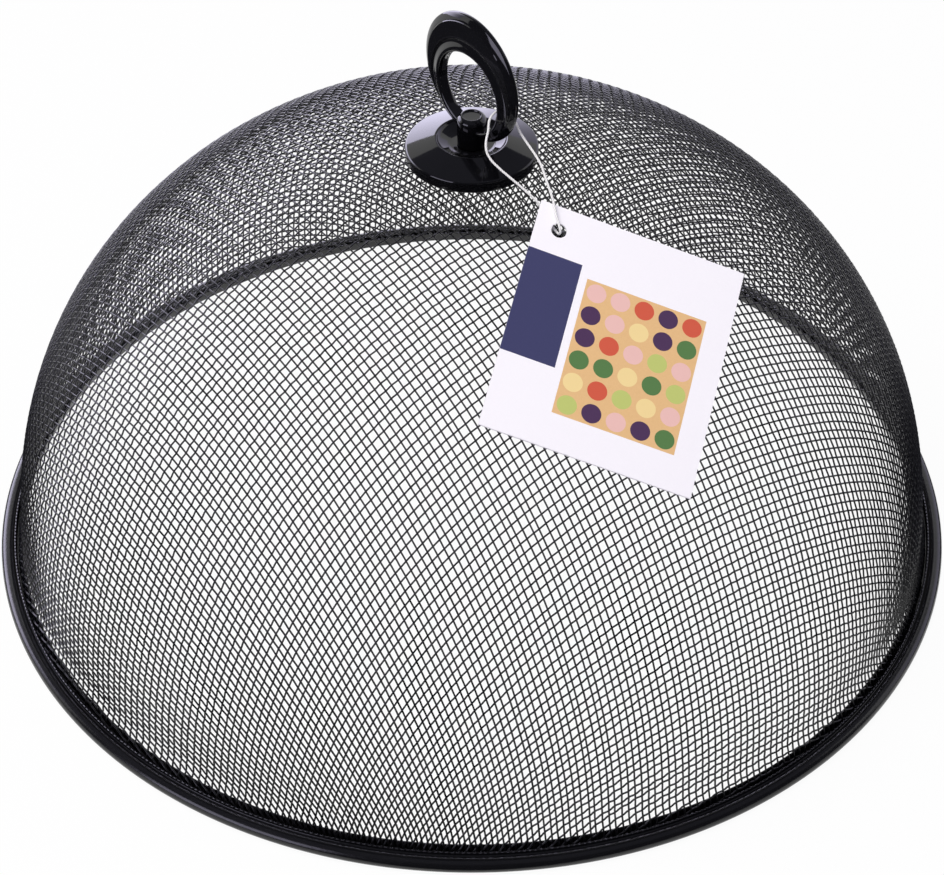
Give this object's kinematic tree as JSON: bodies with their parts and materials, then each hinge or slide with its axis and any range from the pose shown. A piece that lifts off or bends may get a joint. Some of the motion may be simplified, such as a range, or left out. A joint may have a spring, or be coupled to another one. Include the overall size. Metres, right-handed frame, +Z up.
{
  "type": "food cover",
  "caption": "Domed food cover of woven black wire in a rolled steel rim, with a turning ring handle and a hanging card tag.",
  "frame": {"origin": "on the dome's axis, in the plane that the rim stands on", "axes": "+Z up along the dome's axis, -Y towards the side that the picture is taken from, +X to its right"},
  "size_m": [0.3, 0.3, 0.1858],
  "materials": {
    "black_wire": "black coated steel wire, satin",
    "black_paint": "black stoving paint on rolled steel, glossy",
    "black_plastic": "black moulded plastic, high gloss",
    "zinc_steel": "zinc plated steel",
    "white_card": null,
    "white_string": "white twisted string"
  },
  "bodies": {
    "cover": {"mesh_dome": "black_wire", "rim_hoop": "black_paint"},
    "knob": {"knob_rosette": "black_plastic", "ring_handle": "black_plastic", "clamp_washer": "zinc_steel", "knob_screw": "zinc_steel"},
    "tag": {"tag_card": "white_card", "tag_string": "white_string", "string_knot": "white_string"}
  },
  "joints": [
    {"name": "knob_turn", "type": "hinge", "parent": "cover", "child": "knob", "pos_m": [0, 0, 0.141], "axis": [0, 0, 1], "continuous": true},
    {"name": "tag_swing", "type": "hinge", "parent": "knob", "child": "tag", "pos_m": [0.00856, -0.01007, 0.1569], "axis": [-0.3809, 0.4479, -0.8089], "range_deg": [0, 80]}
  ]
}
